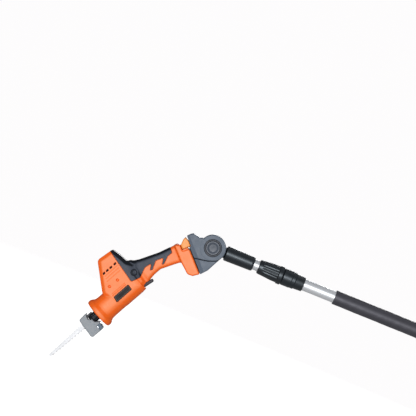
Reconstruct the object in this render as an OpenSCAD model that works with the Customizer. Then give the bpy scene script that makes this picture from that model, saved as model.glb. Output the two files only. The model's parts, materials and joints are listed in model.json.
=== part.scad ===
// Telescoping pole saw: a reciprocating pruning saw on a tilting adapter, a two-stage pole and a
// powered rear handle. Millimetres. +X runs along the pole towards the user, +Z is up, and the
// saw's plane is XZ. The origin is on the pole's axis at the middle of the foam grip.

/* [Pole] */
// Distance from the tilt pivot to the middle of the foam grip
grip_middle = 445; // [435:1:455]
// Length of the foam grip
foam_length = 340; // [200:10:340]
// Outside radius of the foam grip
foam_r = 15.5; // [14:0.5:17]
// Outside radius of the outer tube
outer_tube_r = 12.5; // [12.5:0.1:12.6]
// Bore radius of the outer tube
outer_bore_r = 11.3; // [11.3:0.1:11.6]
// Outside radius of the inner tube
inner_tube_r = 11; // [10.6:0.1:11]
// Wall of the inner tube
inner_wall = 1.2; // [0.8:0.1:1.6]
// Distance from the tilt pivot to the rear end of the outer tube
outer_tube_end = 870; // [860:1:880]

/* [Tilt joint] */
// Angle of the blade below the pole's line at rest
rest_tilt = 63.3; // [0:0.1:63.3]
// Radius of the adapter's round eye
eye_r = 27.5; // [26:0.5:28]
// Half the width of the adapter over its cheeks
eye_half = 28; // [26:0.5:28]
// Half the width of the knuckle's tongue
tongue_half = 11.5; // [9:0.5:11.5]
// Radius of the pivot sleeve
pivot_r = 7; // [6.5:0.1:7]
// Radius of the round push button
button_r = 14.8; // [12:0.1:14.8]
// Travel of the round push button
button_travel = 4; // [2:0.5:4]

/* [Saw] */
// Height of the blade's and barrel's axis above the pivot
axis_q = 54; // [53:0.5:55]
// Radius of the round barrel
barrel_r = 26.5; // [26:0.5:27]
// Radius of the nose flange
flange_r = 33; // [31:0.5:34]
// Half the width of the motor housing
hump_half = 25; // [24:0.5:26]
// Half the width of the handle
handle_half = 17.5; // [16:0.5:19]
// Half the width of the foot and of the adapter's block
foot_half = 31; // [30:0.5:32]
// Angle between the foot's face and the blade's normal
foot_tilt = 19.6; // [19:0.1:20]
// Distance from the pivot to the face that the foot slides on
foot_face = 45.3; // [45:0.1:46]
// Wall of the housing shells
shell_wall = 3; // [2.5:0.1:3]
// Thickness of the soft grip covers
grip_skin = 1.5; // [1:0.1:1.5]

/* [Drive] */
// Gear tooth module
tooth_module = 0.8; // [0.8:0.1:0.8]
// Teeth on the motor pinion
pinion_teeth = 10; // [10:1:10]
// Teeth on the drive gear
gear_teeth = 42; // [42:2:42]
// Radius of the crank
crank_r = 7; // [5:0.5:7]
// Distance along the blade's line from the pivot to the motor's axis
motor_p = 182; // [181:0.5:182.5]

/* [Blade] */
// Distance along the blade's line from the pivot to the blade's tip
blade_tip = 407.5; // [380:0.5:420]
// Thickness of the blade
blade_thick = 1.3; // [0.9:0.1:1.6]
// Distance between the blade's teeth
tooth_pitch = 4.2; // [3:0.1:6]

/* [Rear handle] */
// Half the width of the rear handle
rear_half = 18; // [17:0.5:19]
// Distance from the tilt pivot to the battery's flat rear face
butt_x = 1096; // [1090:1:1100]

/* [Hidden] */
$fn = 48;
far = 60;

// ---- Outlines ----
function unit(v) = v / norm(v);
function flat(v) = [v[0], v[1]];
function outward(a, b) = let (d = unit(b - a)) [d[1], -d[0]];
// Anticlockwise outline of [x, y, corner radius] points, drawn in by d
function inset(v, d) = [for (i = [0 : len(v) - 1])
    let (n = len(v), a = flat(v[(i + n - 1) % n]), b = flat(v[i]), c = flat(v[(i + 1) % n]),
         s = outward(a, b) + outward(b, c), m = b - s * 2 * d / (s * s))
    [m[0], m[1], max(v[i][2] - d, 0.5)]];
// Points of one rounded corner
function corner(a, b, c, r, steps = 4) =
    let (u = unit(a - b), w = unit(c - b), half = acos(u * w) / 2,
         t = min(r / tan(half), 0.48 * min(norm(a - b), norm(c - b))),
         radius = t * tan(half), centre = b + unit(u + w) * radius / sin(half),
         start = b + u * t - centre, stop = b + w * t - centre,
         from = atan2(start[1], start[0]),
         turn = (atan2(stop[1], stop[0]) - from + 540) % 360 - 180)
    [for (j = [0 : steps]) centre + radius * [cos(from + turn * j / steps), sin(from + turn * j / steps)]];
function rounded(v) = [for (i = [0 : len(v) - 1])
    let (n = len(v))
    each corner(flat(v[(i + n - 1) % n]), flat(v[i]), flat(v[(i + 1) % n]), max(v[i][2], 0.3))];

// ---- Frames ----
// Pole frame: x from the pivot towards the user
module pole() translate([-grip_middle, 0, 0]) children();
// Head frame: x from the pivot towards the blade's tip, z towards the motor hump
module head() pole() rotate([0, -rest_tilt, 0]) mirror([1, 0, 0]) children();
// Foot frame: x away from the pivot, square to the foot's face, z along the face to its rear
module foot_frame() rotate([0, -foot_tilt, 0]) children();
// Solid between y0 and y1 whose outline in x and z is v
module plate(v, y0, y1) translate([0, y1, 0]) rotate([90, 0, 0]) linear_extrude(y1 - y0) polygon(rounded(v));
// Slab with one step at each side, where its edge is rounded
module slab(v, half, edge) {
    plate(v, edge - half, half - edge);
    plate(inset(v, edge * 0.6), -half, half);
}
// Solid turned about x from [x, radius] points
module turned(v) rotate([0, 90, 0]) rotate_extrude() polygon([for (p = v) [p[1], p[0]]]);
// Tube along x
module tube(x0, x1, bore, r) turned([[x0, bore], [x0, r], [x1, r], [x1, bore]]);
module rod_x(x, r, length) translate([x, 0, 0]) rotate([0, 90, 0]) cylinder(r = r, h = length);
module rod_y(p, q, r, y0, y1) translate([p, y1, q]) rotate([90, 0, 0]) cylinder(r = r, h = y1 - y0);
module block(lo, hi) translate(lo) cube(hi - lo);
// Screw across two housing halves, its head on the right side, and the well that it sits in
module screw(at, half) {
    rod_y(at[0], at[1], 1.5, -half + 4, half - 4);
    rod_y(at[0], at[1], 2.9, half - 4, half - 1.8);
}
module screw_well(at, half) {
    rod_y(at[0], at[1], 1.5, -half + 4, far);
    rod_y(at[0], at[1], 3, half - 4, far);
}
// Half space: side -1 keeps negative y, 1 keeps positive y
module half_space(side) translate([-500, side < 0 ? -200 : 0, -500]) cube([2500, 200, 1000]);

// ---- Pole ----
module outer_tube() color("#c9ccd0") pole() tube(130, outer_tube_end, outer_bore_r, outer_tube_r);

module collar_body() color("#17181b") pole()
    turned([[122, inner_tube_r + 0.6], [122, 14.4], [159, 14.4], [159, 18.2], [178, 18.2], [179, 17.7],
        [186, 17.7], [187, 16.2], [205.6, 15.35], [205.6, outer_tube_r], [130, outer_tube_r],
        [130, inner_tube_r + 0.6]]);

module collet() color("#2a2c30") pole() difference() {
    turned([[108, inner_tube_r + 0.08], [108, 12.6], [119.5, 13.4], [119.5, inner_tube_r + 0.08]]);
    for (i = [0 : 2]) rotate([i * 60, 0, 0]) translate([107, -0.6, -far / 2]) cube([9, 1.2, far]);
}

module lock_nut() color("#17181b") pole() difference() {
    turned([[103.5, 11.4], [103.5, 13.8], [105.5, 15.3], [112, 15.9], [125, 17], [135, 18], [148, 18.1],
        [149.5, 19.7], [156.5, 19.7], [158, 18.4], [158, 14.8], [121, 14.8], [121, 13.8], [107, 13.8],
        [107, 11.4]]);
    for (i = [0 : 15]) rotate([i * 22.5, 0, 0]) translate([114, 0, 19]) rotate([0, 90, 0])
        cylinder(r = 1.7, h = 33);
}

module foam_grip() color("#2b2b30") pole()
    tube(grip_middle - foam_length / 2, grip_middle + foam_length / 2, outer_tube_r, foam_r);

module inner_tube() color("#d5d7da") pole() tube(36, 800, inner_tube_r - inner_wall, inner_tube_r);

module inner_bush() color("#2a2c30") pole() tube(800, 815, 8, outer_bore_r - 0.05);

module pole_knuckle() color("#121316") pole() difference() {
    union() {
        turned([[29, 0], [29, 15.4], [31, 16.2], [88.8, 15.1], [91.6, 14.4], [92.8, 13], [92.8, 0]]);
        rod_y(0, 0, 24, -tongue_half, tongue_half);
        block([0, -tongue_half + 0.5, -11.5], [31, tongue_half - 0.5, 11.5]);
    }
    rod_x(36, inner_tube_r, 60);
    rod_x(20, 4, 20);
    rod_y(0, 0, pivot_r + 0.05, -far, far);
}

module coiled_lead() color("#1b1c1f") pole() rod_x(45, 6, 815);

// ---- Rear handle ----
rear_body = [[806, -19, 5], [862, -19, 6], [868, -15, 4], [905, -14, 6], [930, -20, 12], [975, -19, 12],
    [990, -37, 6], [1036, -37, 3], [1036, 37, 3], [1000, 37, 8], [975, 22, 16], [880, 20, 20], [806, 19, 5]];
rear_zone = [[892, 30, 1], [880, 6, 1], [898, -4, 1], [894, -40, 1], [984, -30, 1], [968, 30, 1]];
rear_screw_at = [[826, 15.6], [872, 15.6], [940, -13], [1010, 27], [1010, -28]];
rear_pin_at = [874, -8];

module rear_shape(e) {
    intersection() {
        slab(inset(rear_body, e), rear_half - e + 0.01, 5);
        block([700, -far, -far], [992, far, far]);
    }
    intersection() {
        slab(inset(rear_body, e), foot_half - e, 3);
        block([986 + e, -far, -far], [1100, far, far]);
    }
    rod_x(802 + e, 19.5 - e, 60 - 2 * e);
}
module rear_shell(side) difference() {
    intersection() {
        half_space(side);
        rear_shape(0);
    }
    difference() {
        rear_shape(shell_wall);
        block([790, -far, -far], [outer_tube_end + 2, far, far]);
        for (s = rear_screw_at) rod_y(s[0], s[1], 3.6, -far, far);
        rod_y(rear_pin_at[0], rear_pin_at[1], 3.6, -far, far);
        block([1023, -far, -far], [1040, far, far]);
    }
    difference() {
        plate(rear_zone, -far, far);
        rear_shape(grip_skin);
    }
    rod_x(790, outer_tube_r, outer_tube_end - 790);
    rod_x(860, 8, 30);
    // Trigger slot below, lock-off slot on top, terminal opening behind
    block([866, -6.4, -40], [908, 6.4, -8]);
    block([870, -6.4, -12], [908, 6.4, 4]);
    block([896.6, -4.8, 14], [911.4, 4.8, 40]);
    block([1011, -14, -12], [1040, 14, 12]);
    // Grooves that the battery's rails slide in
    block([1026, -22.3, -far], [1032.3, 22.3, 20]);
    block([1026, -18.3, -far], [1040, 18.3, 20]);
    rod_y(rear_pin_at[0], rear_pin_at[1], 1.55, -15, 15);
    for (s = rear_screw_at) screw_well(s, rear_half);
}
module rear_housing_left() color("#e8641f") pole() rear_shell(-1);
module rear_housing_right() color("#e8641f") pole() rear_shell(1);

module rear_grip_cover() color("#2f3742") pole() difference() {
    intersection() {
        plate(rear_zone, -far, far);
        rear_shape(0);
    }
    rear_shape(grip_skin);
    block([866, -6.4, -40], [908, 6.4, -8]);
    block([896.6, -4.8, 14], [911.4, 4.8, 40]);
    for (s = rear_screw_at) screw_well(s, rear_half);
}
module rear_trigger() color("#141519") pole() difference() {
    union() {
        plate([[870, -26, 3], [884, -29, 6], [903, -22, 5], [904, -9, 2], [884, -4, 3], [870, -8, 3]], -6, 6);
        rod_y(rear_pin_at[0], rear_pin_at[1], 4, -6, 6);
    }
    rod_y(rear_pin_at[0], rear_pin_at[1], 1.6, -far, far);
    block([890, -4, -12], [900, 4, 0]);
}
module rear_trigger_spring() color("#b9bcc0") pole() translate([895, 0, -11.8]) difference() {
    cylinder(r = 3, h = 13.6);
    translate([0, 0, -1]) cylinder(r = 2.2, h = 16);
}
module lock_off_button() color("#f2a31b") pole() {
    block([897, -4.5, 15], [911, 4.5, 23.5]);
    block([894, -4.5, 12.2], [914, 4.5, 15.2]);
}
module rear_trigger_pin() color("#b9bcc0") pole() rod_y(rear_pin_at[0], rear_pin_at[1], 1.55, -14.9, 14.9);
module rear_switch() color("#3a3d42") pole() block([884, -7, 2], [904, 7, 8.5]);
module rear_terminals() color("#5b4a2c") pole() {
    block([1012, -13.8, -11.8], [1022, 13.8, 11.8]);
    for (y = [-9, -3, 3, 9]) block([1022, y - 0.4, -7], [1034, y + 0.4, 7]);
}
module rear_screws() color("#3a3d42") pole() for (s = rear_screw_at) screw(s, rear_half);
module battery_case() color("#23262b") pole() difference() {
    union() {
        plate([[1036.4, -37, 3], [1090, -40, 6], [butt_x, -34, 5], [butt_x, 36, 5], [1086, 43, 8],
            [1036.4, 37, 3]], -foot_half, foot_half);
        block([1028, -18, -30.5], [1037, 18, 19]);
        block([1028, -22, -30.5], [1032, 22, 19]);
    }
    block([1041, -28, -34], [1090, 28, 33]);
    block([1020, -11, -11], [1042, 11, far]);
    block([1043, -16.3, 36.4], [1076, 16.3, 60]);
}
module battery_cells() color("#4f8f5a") pole() for (y = [-14, 14]) for (z = [-22, -1, 20])
    translate([0, y, z]) rod_x(1042, 9.8, 47);
module battery_latch() color("#f2a31b") pole() difference() {
    block([1046.8, -16, 36.7], [1075.4, 16, 42.6]);
    block([1060, -8, 40.5], [1070, 8, 50]);
}

// ---- Tilt adapter ----
adapter_outline = [[45, -40.6, 2], [45, 43.4, 1], [38, 43.9, 3], [32, 44.3, 3], [26, 43, 4], [18, 31.5, 8],
    [10, 25.6, 1], [0, 0, 1], [-9.2, -25.9, 1], [27.5, -39.4, 6], [42.2, -40.8, 3]];
latch_outline = [[41.6, 20, 2], [60, 20.4, 2], [60.2, 30.4, 2.5], [50.4, 39.8, 4], [41.4, 43.2, 2]];
latch_pocket = [[40.9, 18.4, 1], [61, 18.4, 1], [61, 60, 1], [40.9, 60, 1]];
adapter_screw_at = [[32, -31], [34, 34], [36, 2]];

// Rail that the saw's foot slides along, grown by gap
module rail(gap) {
    block([44, -17 - gap, -35 - gap], [50.5, 17 + gap, 17]);
    block([50 - gap, -20 - gap, -35 - gap], [54.6 + gap, 20 + gap, 17]);
}
// Ribs that close the view under the latch
module latch_ribs(n0, n1) for (s = [-1, 1]) translate([n0, s * 25.3 - 3.3, 16]) cube([n1 - n0, 6.6, 4.2]);
module adapter_half(side) difference() {
    intersection() {
        half_space(side);
        union() {
            rod_y(0, 0, eye_r, -eye_half, eye_half);
            foot_frame() slab(adapter_outline, foot_half, 2.4);
            foot_frame() rail(0);
        }
    }
    // Slot that the knuckle's tongue turns in
    rod_y(0, 0, 32, -tongue_half - 0.4, tongue_half + 0.4);
    // The eye's cheeks stand in from the block's sides
    for (s = [-1, 1]) translate([0, s * (eye_half + 5), 0]) rod_y(0, 0, eye_r + 2.5, -5, 5);
    rod_y(0, 0, pivot_r, -far, far);
    rod_y(0, 0, button_r + 0.3, -far, -eye_half + 6);
    rod_y(0, 0, 18.5, -far, -eye_half + 1.6);
    rod_y(0, 0, 15, eye_half - 3, far);
    foot_frame() {
        difference() {
            plate(latch_pocket, -far, far);
            latch_ribs(40, 45);
        }
        block([38, -8, -12], [60, 8, 12]);
        for (s = adapter_screw_at) {
            rod_y(s[0], s[1], 1.5, -far, far);
            rod_y(s[0], s[1], 3, foot_half - 5, far);
        }
    }
}
module adapter_left() color("#73808c") head() adapter_half(-1);
module adapter_right() color("#73808c") head() adapter_half(1);

module adapter_contacts() color("#5b4a2c") head() foot_frame() {
    block([38.2, -7.8, -11.8], [48, 7.8, 11.8]);
    for (y = [-5, 0, 5]) block([48, y - 0.4, -8], [54, y + 0.4, 8]);
}
module saw_terminals() color("#5b4a2c") head() foot_frame() block([55.2, -7.8, -11.8], [60, 7.8, 11.8]);
module adapter_screws() color("#3a3d42") head() foot_frame() for (s = adapter_screw_at) {
    rod_y(s[0], s[1], 1.5, -foot_half + 8, foot_half - 5);
    rod_y(s[0], s[1], 2.9, foot_half - 5, foot_half - 2.5);
}
module adapter_latch() color("#f2a31b") head() foot_frame() difference() {
    slab(latch_outline, foot_half - 0.4, 2);
    for (s = [-1, 1]) translate([35, s * 31.6 - 10, 0]) cube([30, 20, 22.2]);
}

module pivot_sleeve() color("#b9bcc0") head() difference() {
    rod_y(0, 0, pivot_r, -eye_half + 7, eye_half - 3);
    rod_y(0, 0, 5.1, -far, eye_half - 6);
}
module pivot_ring() color("#232a3a") head() difference() {
    rod_y(0, 0, 18.5, -eye_half - 0.8, -eye_half + 1.6);
    rod_y(0, 0, button_r + 0.3, -far, far);
}
module pivot_button() color("#6e7687") head() {
    rod_y(0, 0, button_r, -eye_half - 1.4, -eye_half + 1.6);
    rod_y(0, 0, 5, -eye_half + 1.6, 0);
}
module pivot_spring() color("#b9bcc0") head() difference() {
    rod_y(0, 0, 4.6, 4.4, eye_half - 6);
    rod_y(0, 0, 3.4, -far, far);
}
module pivot_cap() color("#232a3a") head() rod_y(0, 0, 15, eye_half - 3, eye_half + 0.8);

// ---- Saw housing ----
hump_outline = [[150, 38.5, 2], [160.5, 36, 1], [163, 26.5, 3], [216, 27, 6], [232, 50, 3], [236.7, 80, 7],
    [198, 140, 10], [160, 136, 7], [155.5, 112, 9], [153.5, 98, 6], [146, 87.5, 8], [138, 84, 4]];
handle_outline = [[64, -4.5, 3], [84, -2.5, 6], [118, -1, 10], [134, -6.5, 10], [152, -16, 3], [176, 42, 4],
    [163, 34.6, 10], [110, 32.4, 20], [64, 35.4, 3]];
foot_outline = [[foot_face + 0.4, -40.5, 2], [61, -38.5, 7], [69.5, -31, 7], [72.3, -6, 3], [73, 36, 3],
    [61, 31.5, 2], [60.8, 18.2, 2], [foot_face + 0.4, 17.2, 1]];
grip_outline = [[174.3, 59.5, 3], [155, 53.5, 6], [134, 62.8, 5], [117.5, 60.5, 2], [131, 50.6, 2],
    [124.3, 49.2, 2], [107.5, 58.4, 2], [91, 52.8, 2], [104.8, 43.4, 2], [98.4, 42, 2], [82, 49.2, 2],
    [70.5, 48.6, 2], [65, 62, 2], [60, 90, 2], [130, 160, 2], [163, 160, 2]];
housing_screw_at = [[157, 70], [60.3, 21.5], [74.5, 43.5], [201.5, 124], [246, 69]];
frame_screw_at = [[215, 81.8], [193.5, 81]];
vent_at = [205.4, 196.3, 186.5, 175.3];
trigger_pin = [165, 39];

// Outer form of the saw, drawn in by e
module saw_shape(e) {
    slab(inset(hump_outline, e), hump_half - e, 5);
    foot_frame() slab(inset(handle_outline, e), handle_half - e, 4);
    foot_frame() slab(inset(foot_outline, e), foot_half - e, 3);
    translate([0, 0, axis_q]) rod_x(162 + e, barrel_r - e, 96 - e);
}
module saw_hollow() difference() {
    saw_shape(shell_wall);
    // The foot stays solid around its rail grooves
    foot_frame() block([0, -far, -far], [58, far, far]);
    for (s = housing_screw_at) rod_y(s[0], s[1], 3.6, -far, far);
    rod_y(trigger_pin[0], trigger_pin[1], 3.6, -far, far);
}
module saw_shell(side) difference() {
    intersection() {
        half_space(side);
        union() {
            saw_shape(0);
            foot_frame() latch_ribs(46, 60.6);
            translate([0, 0, axis_q]) turned([[252, 0], [252, flange_r - 6.4], [256, flange_r - 5.2],
                [262, flange_r - 2], [265, flange_r - 0.2], [266, flange_r], [271, flange_r],
                [273, flange_r - 1.2], [274, flange_r - 3.4], [274, 0]]);
        }
    }
    saw_hollow();
    difference() {
        plate(grip_outline, -far, far);
        saw_shape(grip_skin);
    }
    foot_frame() {
        rail(0.4);
        block([44, -20.5, 16], [55.2, 20.5, far]);
        block([54, -8, -12], [59, 8, 12]);
    }
    translate([0, 0, axis_q]) rod_x(240, 22, 60);
    // Trigger slot and pin hole
    block([134, -5.4, 24], [169, 5.4, 48]);
    rod_y(trigger_pin[0], trigger_pin[1], 1.5, -14, 14);
    for (p = vent_at, s = [-1, 1]) translate([p, s * hump_half, 110]) cube([6, 12, 3.6], center = true);
    for (s = housing_screw_at) screw_well(s, handle_half);
    for (s = frame_screw_at) {
        rod_y(s[0], s[1], 1.4, -far, 0);
        rod_y(s[0], s[1], 2.8, -far, -hump_half + 1.5);
    }
    for (s = [-1, 1]) name_plate(s, 0.05);
}
module saw_housing_left() color("#e8641f") head() saw_shell(-1);
module saw_housing_right() color("#e8641f") head() saw_shell(1);

module grip_cover(side) difference() {
    intersection() {
        half_space(side);
        plate(grip_outline, -far, far);
        saw_shape(0);
    }
    saw_shape(grip_skin);
    for (s = housing_screw_at) screw_well(s, handle_half);
}
module grip_cover_left() color("#2f3742") head() grip_cover(-1);
module grip_cover_right() color("#2f3742") head() grip_cover(1);

plate_outline = [[184, 46.7, 1.5], [225, 46.7, 1.5], [222.6, 59.4, 1.5], [183, 59.4, 1.5]];
module name_plate(side, gap) intersection() {
    plate(inset(plate_outline, -gap), side < 0 ? -far : 0, side < 0 ? 0 : far);
    translate([0, 0, axis_q]) difference() {
        rod_x(170, barrel_r + 0.6, 70);
        rod_x(160, barrel_r - 1 - gap, 90);
    }
}
module name_plates() color("#15161a") head() for (s = [-1, 1]) name_plate(s, 0);
module housing_screws() color("#3a3d42") head() for (s = housing_screw_at) screw(s, handle_half);
module frame_screws() color("#3a3d42") head() for (s = frame_screw_at) {
    rod_y(s[0], s[1], 1.4, -hump_half + 1.5, -17);
    rod_y(s[0], s[1], 2.7, -hump_half, -hump_half + 1.5);
}

// ---- Trigger and drive ----
trigger_outline = [[137, 34.5, 2], [139.5, 28.6, 3], [160, 31.5, 4], [169, 36, 2], [168, 42.5, 3],
    [157, 41, 4], [146, 37.5, 4]];
module saw_trigger() color("#141519") head() difference() {
    plate(trigger_outline, -5, 5);
    rod_y(trigger_pin[0], trigger_pin[1], 1.6, -far, far);
}
module saw_switch() color("#3a3d42") head() foot_frame() block([100, -7, 6], [128, 7, 24]);
module trigger_axle() color("#b9bcc0") head() rod_y(trigger_pin[0], trigger_pin[1], 1.5, -13.9, 13.9);

motor_z = [88, 131];
gear_z = [66.5, 75];
frame_top = 83.5;
gear_p = motor_p + (pinion_teeth + gear_teeth) / 2 * tooth_module + 0.15;
// Outline of a gear with straight-sided teeth
function gear_points(teeth) = let (pitch = teeth * tooth_module / 2, step = 360 / teeth)
    [for (i = [0 : teeth - 1]) each [
        (pitch - 1.2 * tooth_module) * [cos((i - 0.36) * step), sin((i - 0.36) * step)],
        (pitch + 0.9 * tooth_module) * [cos((i - 0.1) * step), sin((i - 0.1) * step)],
        (pitch + 0.9 * tooth_module) * [cos((i + 0.1) * step), sin((i + 0.1) * step)],
        (pitch - 1.2 * tooth_module) * [cos((i + 0.36) * step), sin((i + 0.36) * step)]]];

module motor_can() color("#9aa0a6") head() translate([motor_p, 0, motor_z[0]]) difference() {
    cylinder(r = 15.2, h = motor_z[1] - motor_z[0]);
    translate([0, 0, 2]) cylinder(r = 13.6, h = motor_z[1] - motor_z[0] - 4);
    translate([0, 0, -1]) cylinder(r = 2.6, h = 80);
}
module motor_rotor() color("#7c4a2a") head() translate([motor_p, 0, 0]) {
    translate([0, 0, motor_z[0] + 4]) cylinder(r = 12, h = motor_z[1] - motor_z[0] - 8);
    translate([0, 0, gear_z[1] - 0.5]) cylinder(r = 2.5, h = motor_z[1] + 1.5 - gear_z[1]);
    translate([0, 0, gear_z[0] - 0.5]) rotate([0, 0, 180 / pinion_teeth])
        linear_extrude(gear_z[1] - gear_z[0] + 1) polygon(gear_points(pinion_teeth));
}
module drive_gear() color("#8b9096") head() translate([gear_p, 0, 0]) {
    difference() {
        translate([0, 0, gear_z[0]]) linear_extrude(gear_z[1] - gear_z[0]) polygon(gear_points(gear_teeth));
        translate([0, 0, gear_z[0] + 2]) cylinder(r = 3.05, h = 20);
    }
    translate([0, crank_r, gear_z[0] - 3]) cylinder(r = 2.8, h = 3.5);
}
module gear_axle() color("#b9bcc0") head() translate([gear_p, 0, gear_z[0] + 2.3])
    cylinder(r = 3, h = frame_top - gear_z[0] - 2.3);
module gear_frame() color("#a7abaf") head() difference() {
    union() {
        block([172, -20, 78.5], [228, 20, frame_top]);
        block([222.5, -17, 44], [228, 17, 79.5]);
        block([173, -17, 44], [180, 17, 79.5]);
        block([173, -17, 44], [228, 17, 46.5]);
    }
    translate([motor_p, 0, 0]) cylinder(r = 5.5, h = 100);
    translate([gear_p, 0, 70]) cylinder(r = 3, h = 40);
    translate([0, 0, axis_q + 0.5]) rod_x(160, 7.5, 90);
    for (s = frame_screw_at) rod_y(s[0], s[1], 1.4, -far, 0);
}
module plunger_bushes() color("#8a6a35") head() translate([0, 0, axis_q + 0.5])
    for (x = [[173, 180], [222.5, 230]]) difference() {
        rod_x(x[0], 7.5, x[1] - x[0]);
        rod_x(x[0] - 1, 5.06, 20);
    }
module rod_seal() color("#1d1e22") head() translate([0, 0, axis_q]) difference() {
    turned([[252, 0], [252, 22], [266.3, 22], [267.8, 20], [267.8, 0]]);
    translate([0, 0, 0.5]) rod_x(240, 5.6, 40);
    block([240, -7, -19.2], [280, 7, -15.7]);
}
module plunger() color("#c4c7cb") head() difference() {
    translate([0, 0, axis_q + 0.5]) {
        rod_x(171, 5, 119);
        block([gear_p - 9, -13, -4], [gear_p + 9, 13, 8.4]);
    }
    block([gear_p - 3.1, -10.2, axis_q + 3.5], [gear_p + 3.1, 10.2, far * 2]);
    block([280, -blade_thick / 2, axis_q - 8], [300, blade_thick / 2, axis_q + 8]);
}
module blade_clamp() color("#17181b") head() translate([0, 0, axis_q + 0.5]) difference() {
    union() {
        turned([[275.2, 5.4], [275.2, 9.4], [276.4, 10.4], [286.4, 10.4], [287.6, 9.2], [293, 8.8],
            [293, 6], [290.8, 6], [290.8, 5.4]]);
        // Finger lever
        block([280.5, -1.8, 7.5], [294.4, 1.8, 13.4]);
    }
    for (i = [1 : 11]) rotate([i * 30, 0, 0]) translate([277.6, 0, 10.9]) rotate([0, 90, 0])
        cylinder(r = 1, h = 7.6);
}
// Lower edge and slope of the blade
blade_root_p = 300;
teeth_end_p = blade_tip - 4;
teeth_count = floor((teeth_end_p - 304) / tooth_pitch);
function blade_low(p) = 48 + (p - 316) * 0.031;
blade_points = concat(
    [[281, axis_q - 3], [296, axis_q - 3], [blade_root_p, blade_low(blade_root_p)]],
    [for (i = [0 : teeth_count - 1]) let (p = 304 + i * tooth_pitch) each
        [[p, blade_low(p) + 2.2], [p + tooth_pitch * 0.5, blade_low(p)]]],
    [[teeth_end_p, blade_low(teeth_end_p) + 2], [blade_tip, 54], [blade_tip - 1, 58.4], [318, 60.8],
        [blade_root_p, 61], [296, axis_q + 4], [281, axis_q + 4]]);
module saw_blade() color("#e3e5e8") head() translate([0, blade_thick / 2, 0]) rotate([90, 0, 0])
    linear_extrude(blade_thick) polygon(blade_points);

// ---- Shoe ----
shoe_outline = [[282.3, 24.5, 4], [314.6, 25, 5], [310.6, 71, 4], [289, 72.6, 4], [288, 47, 3], [280, 41, 3]];
lever_notch = [[284, 54.6, 1], [291.5, 54.6, 1.5], [296, 60, 2], [293, 68.5, 3], [286, 75, 1], [284, 75, 1]];
shoe_pin_at = [291, 34];
module shoe() color("#a5afb8") head() difference() {
    slab(shoe_outline, 15, 2.5);
    block([270, -11.6, 38.5], [306.5, 11.6, 90]);
    block([270, -7.6, 28.8], [297, 7.6, 39]);
    block([270, -7.6, 20], [285.5, 7.6, 41]);
    block([300, -1.4, 40], [330, 1.4, 68]);
    plate(lever_notch, -far, far);
    rod_y(shoe_pin_at[0], shoe_pin_at[1], 2.55, -far, far);
}
module shoe_bracket() color("#b9bcc0") head() difference() {
    union() {
        block([252, -7, 34.8], [290, 7, 38.3]);
        rod_y(shoe_pin_at[0], shoe_pin_at[1], 4.4, -7, 7);
    }
    rod_y(shoe_pin_at[0], shoe_pin_at[1], 2.5, -far, far);
}
module shoe_pin() color("#c4c7cb") head() rod_y(shoe_pin_at[0], shoe_pin_at[1], 2.5, -14.6, 14.6);

outer_tube();
collar_body();
collet();
foam_grip();
lock_nut();
inner_tube();
inner_bush();
pole_knuckle();
coiled_lead();
rear_housing_left();
rear_housing_right();
rear_grip_cover();
rear_trigger();
rear_trigger_pin();
rear_trigger_spring();
lock_off_button();
rear_switch();
rear_terminals();
rear_screws();
battery_case();
battery_cells();
battery_latch();
adapter_left();
adapter_right();
adapter_contacts();
saw_terminals();
adapter_screws();
adapter_latch();
pivot_sleeve();
pivot_ring();
pivot_button();
pivot_spring();
pivot_cap();
saw_housing_left();
saw_housing_right();
grip_cover_left();
grip_cover_right();
name_plates();
housing_screws();
frame_screws();
saw_trigger();
trigger_axle();
saw_switch();
motor_can();
motor_rotor();
drive_gear();
gear_axle();
gear_frame();
plunger();
plunger_bushes();
rod_seal();
blade_clamp();
saw_blade();
shoe();
shoe_bracket();
shoe_pin();
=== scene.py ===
"""Looks of the telescoping pole saw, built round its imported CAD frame.

Shapes are written in millimetres in two local frames. The pole frame has x along the pole from the tilt
pivot towards the user. The head frame has x from the pivot towards the blade's tip and z towards the
motor hump. Moulded parts are signed distance fields, negative inside, turned into meshes by surface_net.
"""

import json
import math

import bmesh
import bpy
import numpy as np
from mathutils import Matrix, Vector


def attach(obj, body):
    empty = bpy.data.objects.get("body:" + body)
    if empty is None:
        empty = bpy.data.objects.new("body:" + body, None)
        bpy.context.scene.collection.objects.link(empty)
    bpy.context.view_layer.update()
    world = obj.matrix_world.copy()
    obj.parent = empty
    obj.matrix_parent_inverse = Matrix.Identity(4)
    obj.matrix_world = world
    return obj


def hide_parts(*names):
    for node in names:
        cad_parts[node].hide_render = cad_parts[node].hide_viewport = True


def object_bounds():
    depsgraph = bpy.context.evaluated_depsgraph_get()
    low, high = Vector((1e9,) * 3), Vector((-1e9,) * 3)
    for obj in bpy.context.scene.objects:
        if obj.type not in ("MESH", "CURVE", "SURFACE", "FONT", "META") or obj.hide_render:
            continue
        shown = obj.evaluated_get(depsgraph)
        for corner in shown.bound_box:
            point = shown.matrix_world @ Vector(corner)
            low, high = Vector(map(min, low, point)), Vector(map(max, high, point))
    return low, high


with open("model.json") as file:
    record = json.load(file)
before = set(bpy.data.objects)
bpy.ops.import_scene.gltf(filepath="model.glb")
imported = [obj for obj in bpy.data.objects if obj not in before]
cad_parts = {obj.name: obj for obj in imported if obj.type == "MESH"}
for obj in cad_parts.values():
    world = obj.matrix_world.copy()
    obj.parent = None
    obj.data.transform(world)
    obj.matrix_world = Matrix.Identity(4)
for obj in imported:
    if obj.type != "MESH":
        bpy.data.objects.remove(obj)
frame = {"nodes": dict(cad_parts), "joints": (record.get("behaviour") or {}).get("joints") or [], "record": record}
cad_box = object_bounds()
joints = {j["name"]: j for j in frame["joints"]}

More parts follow.
